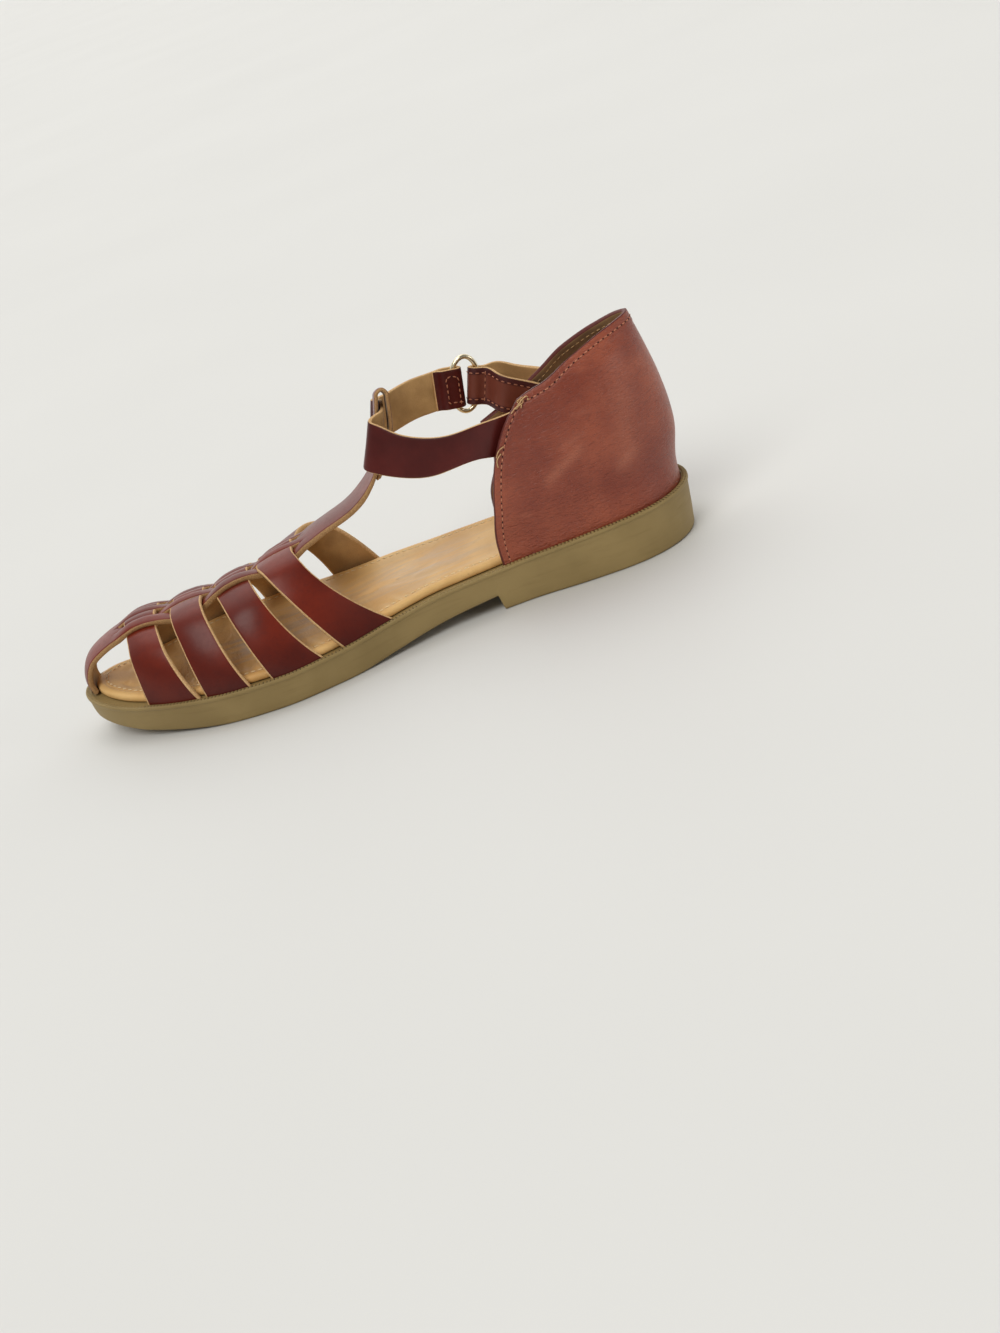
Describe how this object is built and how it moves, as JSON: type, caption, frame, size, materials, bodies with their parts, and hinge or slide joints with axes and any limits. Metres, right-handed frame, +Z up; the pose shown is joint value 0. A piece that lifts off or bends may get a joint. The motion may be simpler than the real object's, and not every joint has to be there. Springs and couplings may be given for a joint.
{
  "type": "fisherman sandal",
  "caption": "Flat fisherman sandal with a woven strap forefoot, a T-strap, a closed heel counter and an ankle strap that fastens through a ring.",
  "frame": {"origin": "middle of the sandal's length and width, on the floor plane under the sole", "axes": "+X towards the heel, -X towards the toe, +Y lateral (outer) side, -Y medial (inner) side, +Z up from the floor"},
  "size_m": [0.2567, 0.0922, 0.0958],
  "materials": {
    "sole_rubber": "smooth olive-brown moulded sole, satin",
    "insole_leather": "camel leather, polished by wear",
    "strap_leather": "glossy maroon-brown leather with ochre cut edges",
    "counter_leather": "creased red-brown leather, soft gloss",
    "pale_gold": "polished pale gold plate"
  },
  "bodies": {
    "root": {"outsole": "sole_rubber", "insole": "insole_leather", "forefoot_upper": "strap_leather", "heel_counter": "counter_leather", "ankle_strap": "strap_leather", "closure_strap": "strap_leather", "ring": "pale_gold"}
  },
  "joints": []
}
